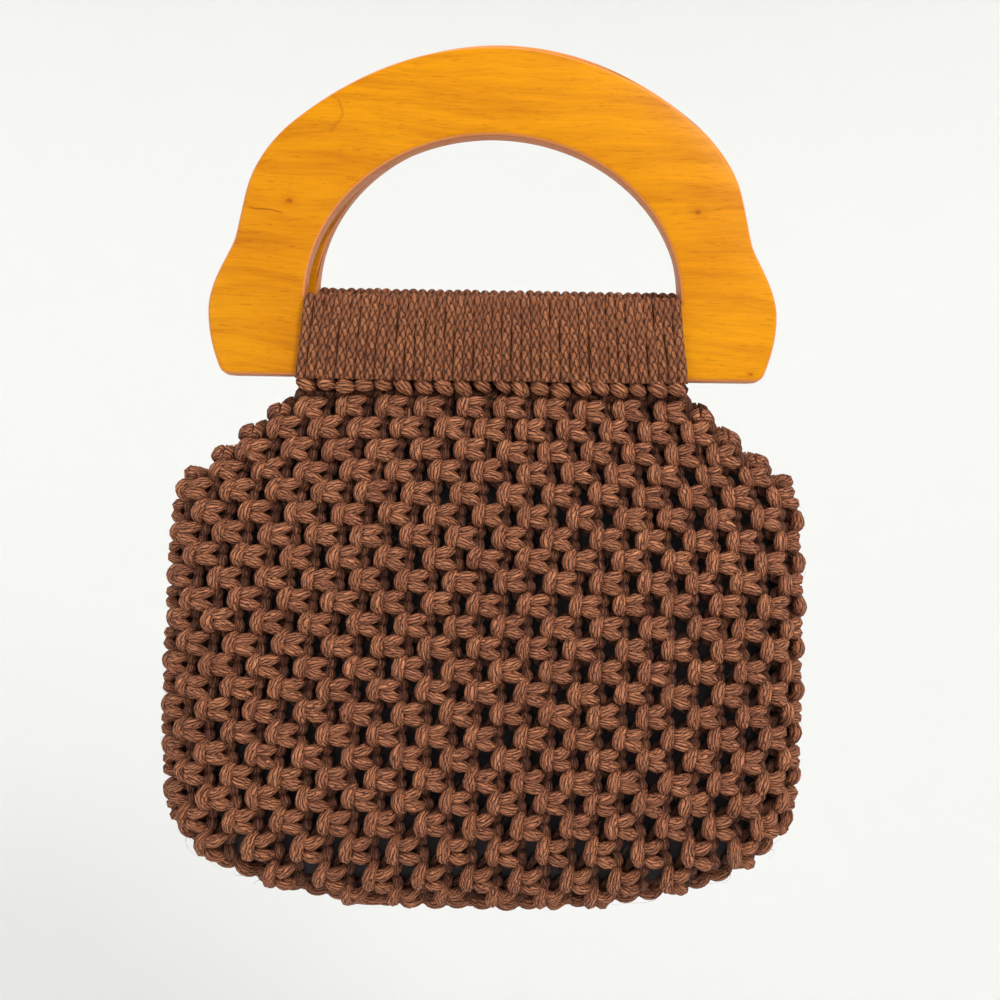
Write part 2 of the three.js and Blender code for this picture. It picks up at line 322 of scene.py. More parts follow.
def wood_material(handles):
    """Varnished plywood: grain along X, short pores, a few small knots, and veneers on the sawn edge."""
    sheet = Sheet("varnished_plywood")
    x, y, z = sheet.parts(sheet.node("ShaderNodeTexCoord")[3])
    drift = sheet.noise(sheet.vector(x * 5.0, y * 2.0, z * 9.0), 1.0, 2.0)
    flame = z * 130.0 + drift * 7.0 + x * 4.0
    grain = sheet.noise(sheet.vector(x * 9.0, y * 20.0, flame), 1.0, 4.0, 0.6)
    fine = sheet.noise(sheet.vector(x * 55.0, y * 90.0, z * 900.0 + drift * 30.0), 1.0, 3.0, 0.65)
    pores = sheet.noise(sheet.vector(x * 160.0, y * 300.0, z * 1500.0), 1.0, 1.0)
    cloud = sheet.noise(sheet.vector(x * 8.0, y * 3.0, z * 14.0), 1.0, 2.0)

    streaks = (grain.steps(0.38, 0.72) * 0.62 + fine.steps(0.35, 0.75) * 0.38).clamped()
    face = sheet.blend(streaks, tuple(handles.gold), tuple(handles.amber))
    face = sheet.multiply(cloud.steps(0.4, 0.7) * 0.7, face, (0.86, 0.74, 0.5))
    face = sheet.multiply(pores.steps(0.63, 0.72) * 0.45, face, (0.62, 0.42, 0.2))
    for knot_x, knot_z, size in WOOD_KNOTS:
        gap_x, gap_z = (x - knot_x) / 1.4, z - knot_z
        spread = (gap_x * gap_x + gap_z * gap_z).math("SQRT") + (fine - 0.5) * 0.0022
        halo = 1.0 - spread.steps(size * 0.8, size * 3.2)
        heart = 1.0 - spread.steps(size * 0.2, size)
        face = sheet.multiply(halo * 0.3, face, (0.66, 0.42, 0.2))
        face = sheet.multiply(heart * 0.6, face, (0.34, 0.14, 0.05))
    beside = x - CRACK_X
    crack = (z - CRACK_Z + beside * 0.13 + (x * 420.0).math("SINE") * 0.0003).math("ABSOLUTE")
    within = beside.math("ABSOLUTE")
    crack_mark = (1.0 - crack.steps(0.0001, 0.0006)) * (1.0 - within.steps(0.006, 0.0095))
    face = sheet.multiply(crack_mark * 0.6, face, (0.35, 0.15, 0.05))
    gap_x, gap_z = x - SWIRL_X, (z - SWIRL_Z) / 1.7
    from_swirl = (gap_x * gap_x + gap_z * gap_z).math("SQRT")
    swirl = (from_swirl + (grain - 0.5) * 0.012 - 0.0062).math("ABSOLUTE")
    swirl_mark = (1.0 - swirl.steps(0.0002, 0.0011)) * (x + z * 0.4 + 0.079).steps(-0.003, 0.004)
    face = sheet.multiply(swirl_mark * 0.35, face, (0.5, 0.28, 0.12))

    layer = (y * (math.pi / VENEER)).math("SINE").math("ABSOLUTE")
    veneer = sheet.blend(layer.steps(0.25, 0.6), tuple(handles.edge_dark), tuple(handles.edge_light))
    veneer = sheet.multiply(fine.steps(0.4, 0.8) * 0.5, veneer, (0.8, 0.66, 0.55))
    edge = sheet.node("ShaderNodeAttribute", {"attribute_name": "sawn_edge"})[2]
    colour = sheet.blend(edge.steps(0.35, 0.8), face, veneer)
    surface = {
        "Base Color": colour,
        "Roughness": 0.36 + streaks * 0.1,
        "Specular IOR Level": 0.06,
        "Coat Weight": (1.0 - edge) * handles.varnish,
        "Coat Roughness": 0.2,
    }
    smooth = 1.0 - pores.steps(0.6, 0.72)
    bumps = [(fine * 0.5 + grain * 0.5, 0.10, 0.0004), (smooth, 0.12, 0.0002)]
    return sheet.finish(surface, bumps)


def backdrop_material(stage):
    """Matt paint with a very faint mottle."""
    sheet = Sheet("pale_backdrop")
    mottle = sheet.noise(sheet.node("ShaderNodeTexCoord")[3], 3.0, 2.0)
    red, green, blue = stage.backdrop
    colour = sheet.blend(mottle, (red * 0.98, green * 0.985, blue * 0.99), (red, green, blue))
    return sheet.finish({"Base Color": colour, "Roughness": 0.95, "Specular IOR Level": 0.1})


# Meshes


def make_piece(name, points, quads, triangles=None, corner_uv=None, point_values=None, material=None):
    """A smooth mesh object at the origin.

    points are in millimetres, and corner_uv follows the corners of the quads and then of the triangles."""
    triangles = np.zeros((0, 3), int) if triangles is None else triangles
    mesh = bpy.data.meshes.new(name)
    mesh.vertices.add(len(points))
    mesh.vertices.foreach_set("co", (np.asarray(points) * MM).astype(np.float32).ravel())
    corners = np.concatenate([quads.ravel(), triangles.ravel()]).astype(np.int32)
    sizes = np.concatenate([np.full(len(quads), 4), np.full(len(triangles), 3)]).astype(np.int32)
    mesh.loops.add(len(corners))
    mesh.loops.foreach_set("vertex_index", corners)
    mesh.polygons.add(len(sizes))
    starts = np.concatenate([[0], np.cumsum(sizes)[:-1]]).astype(np.int32)
    mesh.polygons.foreach_set("loop_start", starts)
    mesh.polygons.foreach_set("loop_total", sizes)
    mesh.polygons.foreach_set("use_smooth", np.ones(len(sizes), bool))
    mesh.update(calc_edges=True)
    if corner_uv is not None:
        mesh.uv_layers.new(name="yarn").data.foreach_set("uv", corner_uv.astype(np.float32).ravel())
    for key, values in (point_values or {}).items():
        attribute = mesh.attributes.new(key, "FLOAT", "POINT")
        attribute.data.foreach_set("value", values.astype(np.float32))
    piece = bpy.data.objects.new(name, mesh)
    bpy.context.scene.collection.objects.link(piece)
    if material is not None:
        mesh.materials.append(material)
    return piece


def tube_piece(name, batch, material, side=None):
    """A mesh object of a batch of tubes, hung at the front or the back where side says so."""
    points, quads, triangles, corner_uv, depths = batch
    points = points if side is None else hung(points, side)
    return make_piece(name, points, quads, triangles, corner_uv, {"recess_shade": depths}, material)


def unit(vectors):
    """Each vector at length 1."""
    return vectors / np.maximum(np.linalg.norm(vectors, axis=-1, keepdims=True), 1e-9)


def run_lengths(lines):
    """How far along its line each point lies: the sum of the steps up to it."""
    steps = np.linalg.norm(np.diff(lines, axis=-2), axis=-1)
    return np.concatenate([np.zeros((*steps.shape[:-1], 1)), np.cumsum(steps, axis=-1)], axis=-1)


def through(points, stations):
    """Catmull-Rom curve through points (cords, points, values) at the given fractional point numbers."""
    before = 2 * points[:, :1] - points[:, 1:2]
    after = 2 * points[:, -1:] - points[:, -2:-1]
    padded = np.concatenate([before, points, after], axis=1)
    first = np.clip(np.floor(stations).astype(int), 0, points.shape[1] - 2)
    share = (stations - first)[None, :, None]
    behind, here, ahead, beyond = (padded[:, first + n] for n in range(4))
    slope = ahead - behind
    bend = 2 * behind - 5 * here + 4 * ahead - beyond
    twist = 3 * here - behind - 3 * ahead + beyond
    return 0.5 * (2 * here + slope * share + bend * share**2 + twist * share**3)


def carried_frames(paths):
    """Tangents and two side directions for every station of many paths at once.

    The side directions are carried from station to station by two reflections, so a tube doesn't twist."""
    along = unit(np.gradient(paths, axis=1))
    side = np.empty_like(along)
    least = np.eye(3)[np.argmin(np.abs(along[:, 0]), axis=1)]
    side[:, 0] = unit(np.cross(along[:, 0], least))
    for n in range(paths.shape[1] - 1):
        step = paths[:, n + 1] - paths[:, n]
        length = np.maximum((step * step).sum(1, keepdims=True), 1e-12)
        side_mid = side[:, n] - step * (2 * (step * side[:, n]).sum(1, keepdims=True) / length)
        along_mid = along[:, n] - step * (2 * (step * along[:, n]).sum(1, keepdims=True) / length)
        turn = along[:, n + 1] - along_mid
        size = np.maximum((turn * turn).sum(1, keepdims=True), 1e-12)
        side[:, n + 1] = side_mid - turn * (2 * (turn * side_mid).sum(1, keepdims=True) / size)
    return along, side, np.cross(along, side)


def tubes(paths, radii, sides, relief=None, phase=0.0, recess_shade=0.0):
    """Closed tubes along many paths with one number of stations: a circle carried along each path.

    The radius may swell by relief(turn, length), where turn goes from 0 to 1 round the tube and length is in
    millimetres along it. The last argument says how deep each station lies in the weave, from 0 to 1, which
    sets its painted shade. Returns points, quads, triangles, corner UVs (turn, centimetres along) and each
    point's depth for the painted shade."""
    count, stations, _ = paths.shape
    _, side, up = carried_frames(paths)
    length = run_lengths(paths) + np.broadcast_to(np.asarray(phase, float), (count,))[:, None]
    turn = np.arange(sides) / sides
    radii = np.broadcast_to(radii, (count, stations))[:, :, None] * np.ones(sides)
    if relief is not None:
        radii = radii * relief(turn[None, None, :], length[:, :, None])
    angle = 2 * np.pi * turn[None, None, :, None]
    spokes = np.cos(angle) * side[:, :, None] + np.sin(angle) * up[:, :, None]
    ring = paths[:, :, None] + radii[..., None] * spokes
    points = np.concatenate([ring.reshape(-1, 3), paths[:, 0], paths[:, -1]])

    number = np.arange(count * stations * sides).reshape(count, stations, sides)
    after = np.roll(number, -1, axis=2)
    quads = np.stack([number[:, :-1], after[:, :-1], after[:, 1:], number[:, 1:]], axis=-1).reshape(-1, 4)
    tip = number.size + np.arange(count)[:, None] + np.zeros(sides, int)
    start = np.stack([tip, after[:, 0], number[:, 0]], axis=-1)
    end = np.stack([tip + count, number[:, -1], after[:, -1]], axis=-1)
    triangles = np.concatenate([start.reshape(-1, 3), end.reshape(-1, 3)])

    low = np.broadcast_to(turn, (count, stations - 1, sides))
    high = low + 1 / sides
    near = np.broadcast_to(length[:, :-1, None] / 10, low.shape)
    far = np.broadcast_to(length[:, 1:, None] / 10, low.shape)
    quad_uv = np.stack([low, near, high, near, high, far, low, far], axis=-1).reshape(-1, 2)
    cap_turn = np.broadcast_to(turn, (count, sides))
    begin = np.broadcast_to(length[:, :1] / 10, cap_turn.shape)
    close = np.broadcast_to(length[:, -1:] / 10, cap_turn.shape)
    start_uv = np.stack([cap_turn, begin, cap_turn + 1 / sides, begin, cap_turn, begin], axis=-1)
    end_uv = np.stack([cap_turn, close, cap_turn, close, cap_turn + 1 / sides, close], axis=-1)
    recess_shade = np.broadcast_to(recess_shade, (count, stations))
    depths = np.concatenate([np.repeat(recess_shade.ravel(), sides), recess_shade[:, 0], recess_shade[:, -1]])
    corner_uv = np.concatenate([quad_uv, start_uv.reshape(-1, 2), end_uv.reshape(-1, 2)])
    return points, quads, triangles, corner_uv, depths


def joined(batches):
    """Several batches of tubes as one."""
    shifts = np.cumsum([0] + [len(batch[0]) for batch in batches[:-1]])
    points = np.concatenate([batch[0] for batch in batches])
    quads = np.concatenate([batch[1] + shift for batch, shift in zip(batches, shifts)])
    triangles = np.concatenate([batch[2] + shift for batch, shift in zip(batches, shifts)])
    quad_uv = [batch[3][: 4 * len(batch[1])] for batch in batches]
    cap_uv = [batch[3][4 * len(batch[1]) :] for batch in batches]
    depths = np.concatenate([batch[4] for batch in batches])
    return points, quads, triangles, np.concatenate(quad_uv + cap_uv), depths


# How the two sides of the bag hang

BOARD_SPACING = 31.0
NET_TOP = -126.8
BACK_SHIFT, BACK_RISE, BACK_LEAN = 2.5, 7.5, math.radians(5.5)
BAR_TOP, BAR_FOOT = -82.0, -117.1
CORNER_HEIGHT = -162.1


def hung(points, side):
    """Places points, given about a plumb board in the plane Y = 0, at the front or the back of the bag.

    The back side is shifted and raised, and leans forward about the top edge of the net."""
    if side == "front":
        return points + np.array([0.0, -BOARD_SPACING / 2, 0.0])
    x, y, z = np.moveaxis(points - np.array([0.0, 0.0, NET_TOP]), -1, 0)
    cos, sin = math.cos(BACK_LEAN), math.sin(BACK_LEAN)
    turned = np.stack([x, y * cos - z * sin, y * sin + z * cos], axis=-1)
    return turned + np.array([BACK_SHIFT, BOARD_SPACING / 2, NET_TOP + BACK_RISE])


# Handles

OPENING_MIDDLE = np.array([0.0, -62.0])  # a point inside the hand opening, across and up


def board_outline():
    """The board's outer edge and its hand opening, each as points along rays from inside the opening.

    The outer edge is six cubic curves from the crown to the foot, mirrored. The opening is half an ellipse on
    a straight sill. Both are sampled finely and read off along the same rays."""
    curves = [
        [(0, 42.6), (46.0, 42.6), (80.5, 19.5), (98.0, 5.0)],
        [(98.0, 5.0), (106.5, -2.0), (115.5, -13.5), (119.0, -26.0)],
        [(119.0, -26.0), (121.2, -34.0), (122.6, -43.0), (124.4, -50.5)],
        [(124.4, -50.5), (126.2, -58.0), (137.0, -71.5), (137.0, -86.0)],
        [(137.0, -86.0), (137.0, -97.0), (134.5, -105.0), (131.9, -112.0)],
        [(131.9, -112.0), (130.7, -115.6), (128.9, -117.1), (125.9, -117.1)],
    ]
    share = np.linspace(0, 1, 60)[:, None]
    rest = 1 - share
    weights = np.concatenate([rest**3, 3 * share * rest**2, 3 * share**2 * rest, share**3], axis=1)
    right = np.concatenate([weights @ np.array(curve, float) for curve in curves])
    foot = np.stack([np.linspace(125.9, 0, 40), np.full(40, BAR_FOOT)], axis=1)
    arch_angle = np.linspace(np.pi / 2, 0, 200)
    arch = np.stack([90.6 * np.cos(arch_angle), 79.7 * np.sin(arch_angle) - 79.7], axis=1)
    sill = np.stack([np.linspace(90.0, 0, 60), np.full(60, BAR_TOP)], axis=1)

    turn = np.linspace(0, 2 * np.pi, 420, endpoint=False)
    fold = np.pi - np.abs(np.pi - turn)
    edges = []
    for half in (np.concatenate([right, foot]), np.concatenate([arch, sill])):
        ray = half - OPENING_MIDDLE
        away = np.hypot(ray[:, 0], ray[:, 1])
        angle = np.arctan2(ray[:, 0], ray[:, 1])
        order = np.argsort(angle, kind="stable")
        reach = np.interp(fold, angle[order], away[order])
        edges.append(OPENING_MIDDLE + reach[:, None] * np.stack([np.sin(turn), np.cos(turn)], axis=1))
    return edges


def board_section(half, radius):
    """A board's section: over the front face, through the opening's wall and back over the back face.

    Each corner is a quarter circle. Each point has its edge (0 outer, 1 inner, shares between on a face), its
    inset from that edge, its depth, and how much of the sawn edge shows."""
    quarter = np.linspace(0, np.pi / 2, 6)
    section = []
    for face, edges, shares in ((-1.0, (0, 1), (0.33, 0.66)), (1.0, (1, 0), (0.66, 0.33))):
        corners = []
        for edge, angles in zip(edges, (quarter, quarter[::-1])):
            inset = radius * (1 - np.cos(angles))
            depth = face * (half - radius * (1 - np.sin(angles)))
            corners.append(list(zip([edge] * 6, inset, depth, np.cos(angles))))
        section += corners[0] + [(share, radius, face * half, 0.0) for share in shares] + corners[1]
    return section


def board(handles):
    """A board as one closed surface: round the outline one way, and round its section the other way."""
    outer, inner = board_outline()
    outward = []
    for edge, facing in ((outer, 1.0), (inner, -1.0)):
        run = np.roll(edge, -1, axis=0) - np.roll(edge, 1, axis=0)
        normal = unit(np.stack([-run[:, 1], run[:, 0]], axis=1))
        away = (normal * (edge - OPENING_MIDDLE)).sum(1, keepdims=True)
        outward.append(normal * np.sign(away) * facing)

    rows = []
    sawn = []
    for which, inset, depth, edge in board_section(handles.thickness / MM / 2, handles.edge_round / MM):
        on_outer = outer - outward[0] * inset
        on_inner = inner - outward[1] * inset
        flat = on_outer * (1 - which) + on_inner * which
        rows.append(np.stack([flat[:, 0], np.full(len(flat), depth), flat[:, 1]], axis=1))
        sawn.append(np.full(len(flat), edge))
    points = np.stack(rows)
    number = np.arange(points.shape[0] * points.shape[1]).reshape(points.shape[:2])
    below = np.roll(number, -1, axis=0)
    quads = np.stack([number, below, np.roll(below, -1, axis=1), np.roll(number, -1, axis=1)], axis=-1)
    return points.reshape(-1, 3), quads.reshape(-1, 4), np.concatenate(sawn)


# Cords over the bar and the hitches under it


def ply_relief(plies, lay, depth):
    """A swelling for each ply: the sine's size of half its angle, which turns once in lay millimetres."""

    def swell(turn, length):
        return 1 - depth + 2 * depth * np.abs(np.sin(np.pi * (turn * plies - length * plies / lay))) ** 0.7

    return swell


def bar_cords(cords, rng):
    """Cords that go up one face of the bar, over it and down the other, side by side and splayed downwards.

    Each path is a straight leg, half a rounded rectangle over the bar, and a straight leg."""
    count = cords.count
    radius = cords.thickness / MM / 2
    room, corner, past_foot = 0.3, 3.4, 1.9
    reach = 6.0 + room + radius
    top = BAR_TOP + room + radius
    leg = np.linspace(BAR_FOOT - past_foot, top - corner, 24)
    bend = np.linspace(0, np.pi / 2, 6)[1:]
    over = np.linspace(corner - reach, reach - corner, 6)[1:-1]
    front = np.concatenate(
        [
            np.stack([np.full(24, -reach), leg], axis=1),
            np.stack([-reach + corner * (1 - np.cos(bend)), top - corner * (1 - np.sin(bend))], axis=1),
        ]
    )
    back = front[::-1] * np.array([-1.0, 1.0])
    profile = np.concatenate([front, np.stack([over, np.full(4, top)], axis=1), back])
    profile = through(profile[None], np.linspace(0, len(profile) - 1, 84))[0]

    down = (top - profile[:, 1]) / (top - BAR_FOOT)
    half_sill, splay = 89.6, 4.3
    half_span = half_sill - radius + splay * down
    place = np.linspace(-1, 1, count)[:, None]
    sway = rng.normal(0, 0.16, (count, 4))
    wave = sum(sway[:, n : n + 1] * np.sin((n + 1.3) * 2.4 * down[None] + n) for n in range(4))
    x = place * half_span[None] + wave
    lift = 1 + rng.normal(0, 0.012, (count, 1))
    y = profile[None, :, 0] * lift
    z = np.broadcast_to(profile[:, 1], x.shape) + rng.normal(0, 0.12, (count, 1)) * (down < 0.4)
    paths = np.stack([x, y, z], axis=-1)
    pressed = ply_relief(plies=2, lay=300.0, depth=0.03)
    return tubes(paths, radius * 1.05, 14, pressed, rng.uniform(0, 36, count))


HITCH_HALF_ROW = 93.9
HITCH_DEPTH = 5.6
HITCH_HEIGHT = -121.0
# One hitch as seen from outside: right, up, out from the middle of the row and radius.
HITCH_BIGHT = np.array(
    [
        (-2.9, 1.6, -4.2, 1.7), (-2.8, 1.3, -1.6, 2.5), (-1.6, 0.7, 0.5, 3.3), (0.1, 0.0, 1.4, 3.8),
        (1.6, -0.8, 0.5, 3.3), (2.7, -1.5, -1.5, 2.5), (2.8, -1.8, -4.2, 1.7),
    ]
)


def bar_hitches(cords, rng):
    """Hitches under the bar: for each pair of cords, a fat bight across each face.

    It slopes down to the right, with its ends tucked in behind its neighbours."""
    count = cords.count // 2
    centre = (np.arange(count) + 0.5 - count / 2) * (2 * HITCH_HALF_ROW / count)
    batches = []
    for face in (-1.0, 1.0):
        points = np.broadcast_to(HITCH_BIGHT, (count, *HITCH_BIGHT.shape)).copy()
        points[..., :3] += rng.normal(0, 0.5, (count, 1, 3))
        points[..., 1] += points[..., 0] * rng.normal(0, 0.35, (count, 1))
        points[..., 3] *= 1 + rng.normal(0, 0.07, (count, 1))
        sampled = through(points, np.linspace(0, len(HITCH_BIGHT) - 1, 17))
        x = centre[:, None] - face * sampled[..., 0]
        y, z = face * (HITCH_DEPTH + sampled[..., 2]), HITCH_HEIGHT + sampled[..., 1]
        paths = np.stack([x, y, z], axis=-1)
        # Painted shade on the bight's ends, which tuck in behind its neighbours.
        recess_shade = np.clip((0.4 - sampled[..., 2]) / 3.5, 0, 1)
        batches.append(tubes(paths, sampled[..., 3], 10, None, rng.uniform(0, 30, count), recess_shade))
    return joined(batches)


# The net's form

# Height, half width, half depth, depth where face meets side, and rounding of the side, for the layer that
# runs through the middle of the knots.
NET_SECTIONS = np.array(
    [
        (-110.0, 77.0, 14.5, 14.5, 2.0),
        (-126.8, 90.0, 15.0, 15.0, 2.0),
        (-138.9, 109.0, 16.0, 14.5, 2.0),
        (-150.0, 126.7, 17.0, 12.4, 2.0),
        (-162.1, 145.8, 18.0, 7.7, 3.0),
        (-180.4, 149.2, 20.3, 11.6, 9.0),
        (-200.4, 150.8, 22.0, 15.0, 17.0),
        (-220.3, 151.6, 23.6, 18.0, 23.0),
        (-240.3, 151.8, 24.7, 20.0, 27.0),
        (-260.2, 151.8, 25.5, 21.5, 28.8),
        (-280.0, 151.8, 25.8, 22.1, 28.8),
        (-300.0, 151.6, 25.7, 22.0, 28.8),
        (-318.0, 150.6, 24.9, 21.2, 28.0),
        (-332.0, 147.5, 23.3, 19.8, 26.4),
        (-343.0, 141.0, 21.0, 18.0, 24.0),
        (-352.5, 128.0, 17.8, 15.4, 20.3),
        (-360.5, 110.5, 13.8, 12.0, 15.8),
        (-366.8, 87.0, 9.2, 8.0, 10.6),
        (-371.0, 57.0, 4.8, 4.2, 5.5),
        (-373.4, 20.0, 1.2, 1.1, 1.5),
    ]
)
HALF_RING = 28  # half columns from the middle of the front to the middle of the back
NET_LEAN = 0.013  # how far to the left the pouch hangs, for each millimetre down


class NetForm:
    """The middle layer of the net as a table of points and normals, read by place round and down the bag.

    Level sections are spaced evenly down the front's middle line, and each is spaced evenly round from the
    middle of the front over the right side to the middle of the back. Above the corners the two faces are
    separate strips, which run on straight past their edges to STRIP_REACH."""

    STRIP_REACH = 156.0

    def __init__(self):
        fine = np.linspace(NET_SECTIONS[0, 0], NET_SECTIONS[-1, 0], 600)
        columns = [np.interp(-fine, -NET_SECTIONS[:, 0], NET_SECTIONS[:, n]) for n in range(1, 5)]
        kernel = np.exp(-np.linspace(-2, 2, 19) ** 2)
        kernel /= kernel.sum()
        padded = [np.pad(column, 9, mode="reflect", reflect_type="odd") for column in columns]
        columns = [np.convolve(column, kernel, mode="valid") for column in padded]
        drop = np.concatenate([[0], np.cumsum(np.hypot(np.diff(fine), np.diff(columns[1])))])
        self.drop = np.linspace(0, drop[-1], 300)
        self.height = np.interp(self.drop, drop, fine)
        width, depth, edge, rounding = (np.interp(self.drop, drop, column)[:, None] for column in columns)

        share = np.linspace(0, 1, 121)[None]
        flat = np.maximum(width - rounding, 1.0)
        face = np.stack([flat * share, -depth + (depth - edge) * share**2], axis=-1)
        angle = np.linspace(0, np.pi / 2, 61)[None, 1:]
        side = np.stack([flat + rounding * np.sin(angle), -edge * np.cos(angle)], axis=-1)
        slope = unit(face[:, -1] - face[:, -2])[:, None]
        reach = np.maximum(self.STRIP_REACH - flat, 6)[..., None]
        strip = face[:, -1:] + slope * (np.linspace(0, 1, 61)[None, 1:, None] * reach)
        is_strip = (self.height > CORNER_HEIGHT)[:, None, None]
        quarter = np.concatenate([face, np.where(is_strip, strip, side)], axis=1)
        length = run_lengths(quarter)
        self.quarter_length = length[:, -1]
        even = np.linspace(0, 1, 141)
        x, y = (
            np.array([np.interp(even * run[-1], run, line[:, n]) for run, line in zip(length, quarter)])
            for n in range(2)
        )
        front = np.stack([x, y, np.broadcast_to(self.height[:, None], x.shape)], axis=-1)
        back = front[:, ::-1] * np.array([1.0, -1.0, 1.0])
        above = np.clip((front[:, :1, 2] - CORNER_HEIGHT) / (NET_TOP - CORNER_HEIGHT), 0, 1.6)[..., None]
        back = back + above * np.array([BACK_SHIFT, 0.0, BACK_RISE])
        self.points = np.concatenate([front, back[:, 1:]], axis=1)
        around = np.gradient(self.points, axis=1)
        downwards = np.gradient(self.points, axis=0)
        self.normals = unit(np.cross(downwards, around))
        level = self.points * np.array([1.0, 1.0, 0.0])
        self.normals *= np.sign((self.normals * level).sum(-1).mean())
        self.fold = self._spacing_ratio()

    def _spacing_ratio(self):
        """How far a column lies out, against a ring of columns spaced evenly.

        The strips are narrower, and near the bottom the columns keep their spacing while the ring shrinks."""
        full = self.quarter_length / (HALF_RING / 4)
        heights = [-100, -131.5, -142.5, -153.0, -163.7, -173.5, -180.0]
        spacing = [18.0, 19.2, 20.0, 20.7, 21.4, 22.1, 22.5]
        upper = np.interp(-self.height, -np.array(heights), spacing) / full
        bottom = ([318.0, 330.0, 343.0, 358.0, 374.0], [22.7, 22.9, 23.4, 24.0, 24.0])
        lower = np.interp(-self.height, *bottom) / full
        ratio = np.where(self.height > -180.0, np.minimum(upper, 1.0), 1.0)
        return np.where(self.height < -322.0, np.maximum(lower, 1.0), ratio)

    def drop_at(self, height):
        """Millimetres down the front's middle line to a height."""
        return np.interp(-np.asarray(height, float), -self.height, self.drop)

    def spacing_at(self, drop):
        """Millimetres between neighbouring knots of a row."""
        return np.interp(drop, self.drop, self.fold * self.quarter_length / (HALF_RING / 4))

    def fold_at(self, drop):
        """The spacing ratio at millimetres down."""
        return np.interp(drop, self.drop, self.fold)

    def read(self, round_share, drop, out):
        """Points at a share round the bag, millimetres down, and millimetres out of the layer.

        The share goes from -1 over 0, the front's middle, to 1, and both ends are the back's middle. Each
        point is interpolated between the four nearest entries of the table. The left half mirrors the right
        one, apart from the back strip's shift."""
        mirror = np.where(round_share < 0, -1.0, 1.0)
        share = np.clip(np.abs(round_share), 0, 1)
        last_level, last_spot = self.points.shape[0] - 1, self.points.shape[1] - 1
        level = np.clip(drop / self.drop[-1], 0, 1) * last_level
        spot = share * last_spot
        row = np.minimum(level.astype(int), last_level - 1)
        cell = np.minimum(spot.astype(int), last_spot - 1)
        down, across = (level - row)[..., None], (spot - cell)[..., None]

        def mixed(table):
            upper = table[row, cell] * (1 - across) + table[row, cell + 1] * across
            lower = table[row + 1, cell] * (1 - across) + table[row + 1, cell + 1] * across
            return upper * (1 - down) + lower * down

        point = mixed(self.points) + unit(mixed(self.normals)) * out[..., None]
        point[..., 0] *= mirror
        above = np.clip((point[..., 2] - CORNER_HEIGHT) / (NET_TOP + BACK_RISE - CORNER_HEIGHT), 0, 1.2)
        point[..., 0] += np.where((share > 0.5) & (mirror < 0), 2 * BACK_SHIFT * above, 0.0)
        point[..., 0] += NET_LEAN * (point[..., 2] - NET_TOP)
        return point

    def place(self, column, drop, out):
        """Points at half columns round from the front's middle.

        Columns of a strip or of the bottom rows keep their own spacing from the middle of their face."""
        column = (column + HALF_RING) % (2 * HALF_RING) - HALF_RING
        side = np.where(column < 0, -1.0, 1.0)
        ratio = self.fold_at(drop)
        near = np.abs(column) * ratio / HALF_RING
        far = 1 - (HALF_RING - np.abs(column)) * ratio / HALF_RING
        return self.read(side * np.where(np.abs(column) <= HALF_RING / 2, near, far), drop, out)


# Square knots

# The way of each of a knot's four cords, from top to bottom: right, up and out from the knot's middle, and
# the cord's radius, all in millimetres. The left cord crosses over the front to the right and back again. The
# right cord goes behind to the left, stands up round the crossing as a bump, and goes back behind.
LEFT_CORD = [
    (-8.4, 5.3, -2.0, 2.7), (-5.8, 3.7, -3.0, 2.5), (-3.2, 1.9, -0.8, 2.0), (-0.7, 1.9, 2.6, 2.65),
    (1.3, 2.2, 4.2, 3.05), (3.6, 2.9, 3.7, 2.95), (5.7, 3.7, 2.0, 2.15), (6.4, 3.3, -1.6, 1.4),
    (5.6, 0.0, -3.8, 1.4),
    (6.4, -3.3, -1.6, 1.4), (5.7, -3.7, 2.0, 2.15), (3.6, -2.9, 3.7, 2.95), (1.3, -2.2, 4.2, 3.05),
    (-0.7, -1.9, 2.6, 2.65), (-3.2, -1.9, -0.8, 2.0), (-5.8, -3.7, -2.8, 2.5),
]
RIGHT_CORD = [
    (8.7, 5.4, -1.2, 2.8), (8.7, 3.0, -0.6, 2.9), (7.6, 0.9, -1.9, 2.3), (2.6, 1.4, -4.3, 1.6),
    (-1.2, 3.0, -4.0, 1.7), (-2.5, 4.3, -2.0, 2.0), (-3.2, 4.2, 1.2, 2.5), (-4.3, 2.6, 3.4, 3.05),
    (-5.0, 0.0, 4.2, 3.35),
    (-4.9, -2.5, 3.4, 3.0), (-4.1, -4.0, 1.2, 2.4), (-3.4, -4.1, -2.0, 2.0), (-1.2, -3.0, -4.0, 1.7),
    (2.6, -1.4, -4.3, 1.6), (7.6, -0.9, -1.9, 2.3), (8.7, -3.0, -0.6, 2.9), (8.7, -5.4, -1.2, 2.8),
]
LEFT_CORE = [(-1.7, 3.9, -1.4, 1.8), (-1.7, -3.6, -1.6, 1.8)]
RIGHT_CORE = [(1.7, 3.9, -1.4, 1.8), (1.7, -3.6, -1.6, 1.8)]
WAYS = {
    "left": np.array(LEFT_CORD), "right": np.array(RIGHT_CORD),
    "left_core": np.array(LEFT_CORE), "right_core": np.array(RIGHT_CORE),
}


def halves(points, left_out):
    """Stations half a point apart, without those listed, which lie on hidden parts of the cord."""
    return [n / 2 for n in range(2 * points) if n / 2 not in left_out]


STOPS = {
    "left": halves(16, (7.5, 8.5)), "right": halves(17, (2.5, 3.5, 12.5, 13.5)),
    "left_core": halves(2, (0.5,)), "right_core": halves(2, (0.5,)),
}
